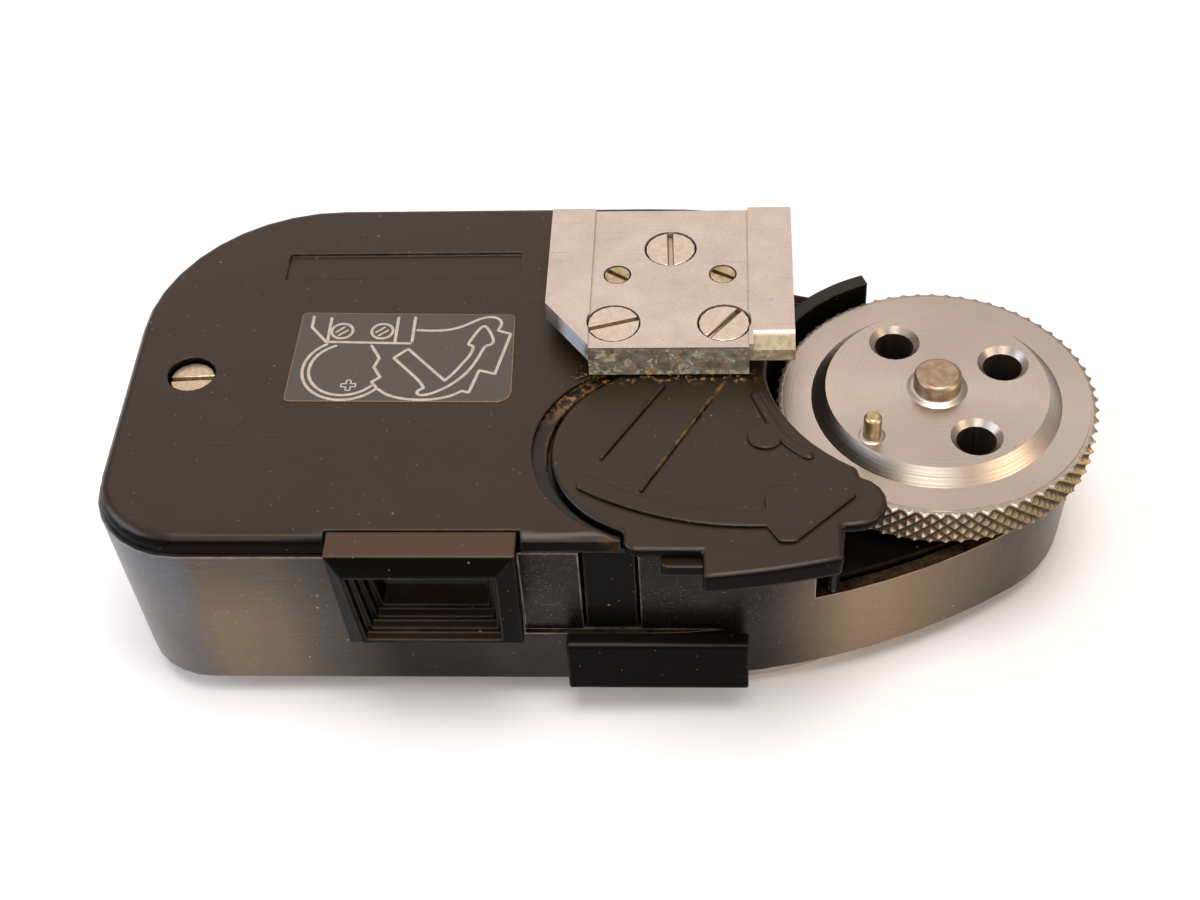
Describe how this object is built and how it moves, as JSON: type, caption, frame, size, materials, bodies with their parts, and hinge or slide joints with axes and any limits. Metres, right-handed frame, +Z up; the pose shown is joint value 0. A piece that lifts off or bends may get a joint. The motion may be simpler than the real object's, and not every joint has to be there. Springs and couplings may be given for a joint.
{
  "type": "light meter",
  "caption": "Shoe-mounted exposure meter, lying on its dial, with a satin accessory foot, a knurled coupling wheel, a swinging battery cover and a hooded light cell.",
  "frame": {"origin": "centre of the bounding box's bottom face, which is the face of the dial that the meter lies on", "axes": "+Z up towards the accessory foot, -Y forward, the way that the cell hood looks, +X towards the coupling wheel"},
  "size_m": [0.0734, 0.0412, 0.0217],
  "materials": {
    "black_plastic": "worn semi-gloss",
    "black_metal": "black chromed, worn to bronze",
    "satin_aluminium": "satin",
    "worn_steel": "worn",
    "brass": "turned",
    "copper_wire": "enamelled winding wire",
    "window_glass": "clear",
    "ceramic": "fired ceramic",
    "fibre_board": "paper laminate",
    "scale_white": "matt white"
  },
  "bodies": {
    "body": {"housing": "black_metal", "base_plate": "black_plastic", "base_plate_screw": "brass", "wheel_well_plate": "black_plastic", "shaft_bush": "brass", "shoe_foot": "satin_aluminium", "foot_screw_rear": "satin_aluminium", "foot_screw_left": "satin_aluminium", "foot_screw_pivot": "satin_aluminium", "small_screw_left": "brass", "small_screw_right": "brass", "foot_backing_plate": "brass", "cover_pivot_bush": "brass", "battery_cell": "worn_steel", "battery_contact": "brass", "cell_hood": "black_plastic", "cell_window": "window_glass", "photocell": "ceramic", "photocell_holder": "fibre_board", "magnet_core": "worn_steel", "magnet_yoke": "worn_steel", "upper_bridge": "brass", "lower_bridge": "brass", "scale_plate": "scale_white", "scale_window": "window_glass", "terminal_board": "fibre_board", "resistor_1": "ceramic", "resistor_2": "ceramic", "resistor_3": "ceramic"},
    "wheel": {"coupling_wheel": "satin_aluminium", "coupling_pin": "brass", "wheel_shaft": "worn_steel", "wheel_gear": "brass"},
    "dial": {"calculator_dial": "satin_aluminium", "dial_shaft": "worn_steel", "dial_gear": "brass"},
    "film_disc": {"film_speed_disc": "black_plastic"},
    "cover": {"battery_cover": "black_plastic"},
    "slide": {"measuring_slide": "black_plastic"},
    "switch": {"range_switch": "black_plastic"},
    "needle": {"moving_coil": "copper_wire", "pointer": "black_plastic"}
  },
  "joints": [
    {"name": "wheel_turn", "type": "hinge", "parent": "body", "child": "wheel", "pos_m": [0.02458, 0.00107, 0.0127], "axis": [0, 0, 1], "range_deg": [-120, 180]},
    {"name": "dial_turn", "type": "hinge", "parent": "body", "child": "dial", "pos_m": [0.00868, 0.00107, 0.0007], "axis": [0, 0, 1], "range_deg": [-180, 120]},
    {"name": "film_speed_set", "type": "hinge", "parent": "dial", "child": "film_disc", "pos_m": [0.00868, 0.00107, 0.0007], "axis": [0, 0, 1], "range_deg": [-150, 150]},
    {"name": "cover_swing", "type": "hinge", "parent": "body", "child": "cover", "pos_m": [0.00858, 0.00177, 0.01805], "axis": [0, 0, 1], "range_deg": [0, 70]},
    {"name": "slide_press", "type": "slide", "parent": "body", "child": "slide", "axis": [-1, 0, 0], "range_m": [0, 0.0025], "stiffness_N_per_m": 120, "springref_m": -0.001},
    {"name": "range_switch_slide", "type": "slide", "parent": "body", "child": "switch", "axis": [1, 0, 0], "range_m": [0, 0.004]},
    {"name": "needle_swing", "type": "hinge", "parent": "body", "child": "needle", "pos_m": [-0.02172, 0.00597, 0.0109], "axis": [0, 0, 1], "range_deg": [0, 50], "stiffness_Nm_per_rad": 0.0001, "springref_deg": -5.73}
  ],
  "couplings": [
    {"joint": "dial_turn", "follows": "wheel_turn", "ratio": -1}
  ]
}
